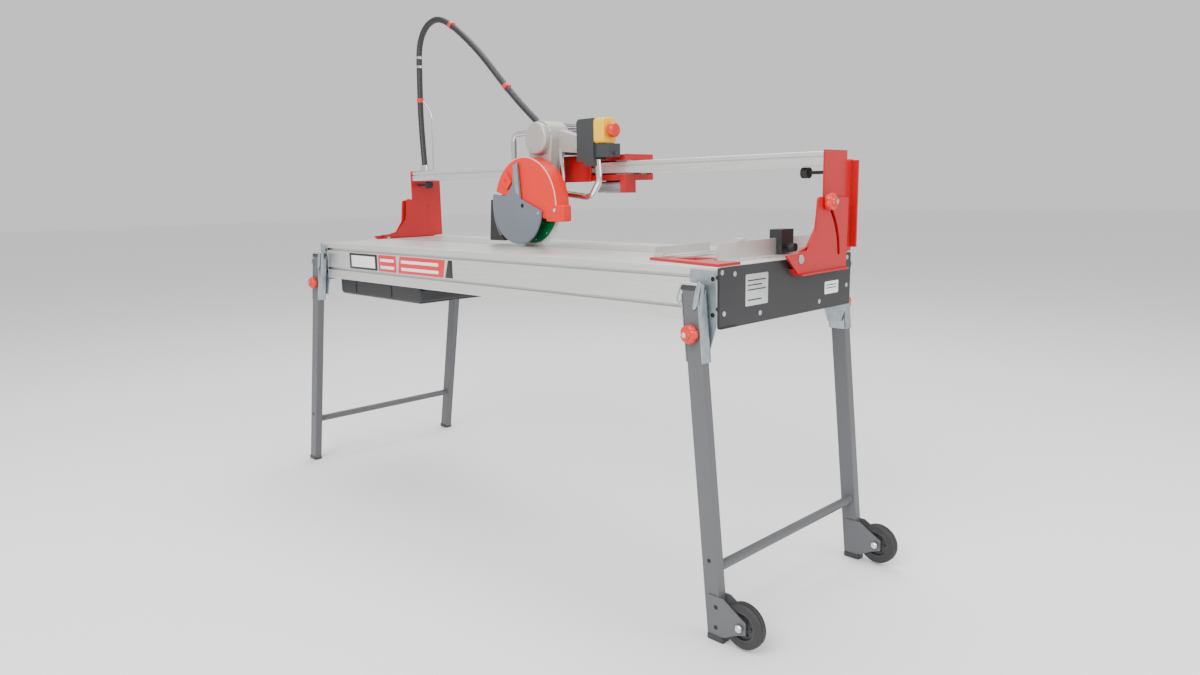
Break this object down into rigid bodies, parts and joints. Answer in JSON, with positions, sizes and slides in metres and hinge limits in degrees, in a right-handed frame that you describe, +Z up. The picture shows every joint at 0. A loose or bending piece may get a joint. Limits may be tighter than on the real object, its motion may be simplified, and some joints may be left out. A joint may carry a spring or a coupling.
{
  "type": "rail tile cutter",
  "caption": "Wet tile saw: a cutting head with a guarded diamond blade slides on a tilting rail over a slatted aluminium table on folding legs with wheels.",
  "frame": {"origin": "on the floor, under the middle of the machine's box", "axes": "+X towards the wheeled end, +Y towards the back, +Z up"},
  "size_m": [2.004, 0.654, 1.5766],
  "materials": {
    "aluminium_profile": "anodised satin",
    "table_aluminium": "brushed",
    "end_plate_black": "satin powder coat",
    "galvanised_steel": "zinc plated",
    "leg_grey": "satin powder coat",
    "machine_red": "gloss powder coat",
    "tank_black": "moulded",
    "pump_black": "moulded",
    "bright_steel": "polished",
    "rubber_black": "matt",
    "cast_alloy": "sand cast",
    "motor_alloy": "die cast",
    "switch_grey": "moulded",
    "stop_yellow": "gloss",
    "stop_red": "gloss",
    "guard_orange": "gloss",
    "guard_grey": "satin",
    "blade_green": "gloss lacquer",
    "machined_steel": "turned",
    "knob_red": "gloss",
    "hose_black": "corrugated",
    "glide_polymer": "natural",
    "wheel_black": "moulded",
    "belt_rubber": "matt",
    "stop_box_black": "moulded"
  },
  "bodies": {
    "frame": {"front_profile": "aluminium_profile", "rear_profile": "aluminium_profile", "left_end_plate": "end_plate_black", "right_end_plate": "end_plate_black", "table_planks": "table_aluminium", "cross_members": "galvanised_steel", "water_basin": "galvanised_steel", "water_tank": "tank_black", "water_pump": "pump_black", "leg_brackets": "galvanised_steel", "side_fence": "aluminium_profile", "mitre_plate": "machine_red", "left_tilt_bracket": "machine_red", "right_tilt_bracket": "machine_red", "frame_bolts": "bright_steel"},
    "bridge": {"left_upright": "machine_red", "right_upright": "machine_red", "guide_rail": "aluminium_profile", "rail_buffers": "rubber_black", "hose_support": "bright_steel", "conduit_hose": "hose_black"},
    "carriage": {"carriage_body": "machine_red", "carriage_front_plate": "machine_red", "glide_shoes": "glide_polymer", "spring_cylinder": "motor_alloy", "hose_bracket": "galvanised_steel", "hose_gland": "wheel_black", "plunge_pin": "bright_steel"},
    "head": {"drive_case": "cast_alloy", "drive_cover": "cast_alloy", "motor_housing": "motor_alloy", "motor_rear_cover": "wheel_black", "bearings": "machined_steel", "drive_belt": "belt_rubber", "switch_bracket": "switch_grey", "stop_housing": "stop_yellow", "handles": "bright_steel", "guard_housing": "guard_orange", "splash_flap": "rubber_black"},
    "blade_set": {"blade": "blade_green", "arbor": "machined_steel", "blade_pulley": "machined_steel"},
    "rotor": {"motor_rotor": "machined_steel"},
    "flap": {"guard_flap": "guard_grey"},
    "button": {"stop_button": "stop_red"},
    "left_legs": {"left_leg_frame": "leg_grey", "left_leg_fittings": "galvanised_steel"},
    "right_legs": {"right_leg_frame": "leg_grey", "right_leg_fittings": "galvanised_steel", "wheel_forks": "leg_grey"},
    "wheel_front": {"front_wheel": "wheel_black"},
    "wheel_rear": {"rear_wheel": "wheel_black"},
    "knob_fl": {"knob_front_left": "knob_red"},
    "knob_fr": {"knob_front_right": "knob_red"},
    "knob_rl": {"knob_rear_left": "knob_red"},
    "knob_rr": {"knob_rear_right": "knob_red"},
    "tilt_knob_l": {"left_tilt_knob": "knob_red"},
    "tilt_knob_r": {"right_tilt_knob": "knob_red"},
    "stop_slider": {"length_stop": "stop_box_black"},
    "mitre_arm": {"mitre_fence": "aluminium_profile"}
  },
  "joints": [
    {"name": "bridge_tilt", "type": "hinge", "parent": "frame", "child": "bridge", "pos_m": [0, 0.005, 0.798], "axis": [-1, 0, 0], "range_deg": [0, 45]},
    {"name": "carriage_travel", "type": "slide", "parent": "bridge", "child": "carriage", "axis": [1, 0, 0], "range_m": [-0.58, 0.515], "deforming": ["conduit_hose"]},
    {"name": "head_plunge", "type": "hinge", "parent": "carriage", "child": "head", "pos_m": [0.105, 0.1, 1.088], "axis": [0, 1, 0], "range_deg": [0, 15]},
    {"name": "blade_spin", "type": "hinge", "parent": "head", "child": "blade_set", "pos_m": [-0.038, 0.005, 0.918], "axis": [0, 1, 0], "continuous": true},
    {"name": "motor_spin", "type": "hinge", "parent": "head", "child": "rotor", "pos_m": [-0.025, 0.1, 1.112], "axis": [0, 1, 0], "continuous": true},
    {"name": "guard_swing", "type": "hinge", "parent": "head", "child": "flap", "pos_m": [-0.038, -0.03, 0.918], "axis": [0, 1, 0], "range_deg": [0, 17]},
    {"name": "stop_press", "type": "slide", "parent": "head", "child": "button", "axis": [-1, 0, 0], "range_m": [0, 0.004], "stiffness_N_per_m": 900},
    {"name": "left_leg_fold", "type": "hinge", "parent": "frame", "child": "left_legs", "pos_m": [-0.852, 0, 0.664], "axis": [0, -1, 0], "range_deg": [0, 94]},
    {"name": "right_leg_fold", "type": "hinge", "parent": "frame", "child": "right_legs", "pos_m": [0.822, 0, 0.664], "axis": [0, 1, 0], "range_deg": [0, 95]},
    {"name": "front_wheel_roll", "type": "hinge", "parent": "right_legs", "child": "wheel_front", "pos_m": [0.952, -0.287, 0.056], "axis": [0, 1, 0], "continuous": true},
    {"name": "rear_wheel_roll", "type": "hinge", "parent": "right_legs", "child": "wheel_rear", "pos_m": [0.952, 0.287, 0.056], "axis": [0, 1, 0], "continuous": true},
    {"name": "length_stop_slide", "type": "slide", "parent": "frame", "child": "stop_slider", "axis": [0, 1, 0], "range_m": [-0.02, 0.11]},
    {"name": "mitre_swing", "type": "hinge", "parent": "frame", "child": "mitre_arm", "pos_m": [0.626, -0.168, 0.81], "axis": [0, 0, -1], "range_deg": [0, 45]},
    {"name": "leg_knob_fl_turn", "type": "hinge", "parent": "frame", "child": "knob_fl", "pos_m": [-0.852, -0.31, 0.664], "axis": [0, 1, 0], "continuous": true},
    {"name": "leg_knob_fr_turn", "type": "hinge", "parent": "frame", "child": "knob_fr", "pos_m": [0.822, -0.31, 0.664], "axis": [0, 1, 0], "continuous": true},
    {"name": "leg_knob_rl_turn", "type": "hinge", "parent": "frame", "child": "knob_rl", "pos_m": [-0.852, 0.31, 0.664], "axis": [0, 1, 0], "continuous": true},
    {"name": "leg_knob_rr_turn", "type": "hinge", "parent": "frame", "child": "knob_rr", "pos_m": [0.822, 0.31, 0.664], "axis": [0, 1, 0], "continuous": true},
    {"name": "tilt_knob_l_turn", "type": "hinge", "parent": "bridge", "child": "tilt_knob_l", "pos_m": [-0.89, 0.11696, 0.92191], "axis": [1, 0, 0], "continuous": true},
    {"name": "tilt_knob_r_turn", "type": "hinge", "parent": "bridge", "child": "tilt_knob_r", "pos_m": [0.89, 0.11696, 0.92191], "axis": [1, 0, 0], "continuous": true}
  ],
  "couplings": [
    {"joint": "motor_spin", "follows": "blade_spin", "ratio": 1.1429}
  ]
}
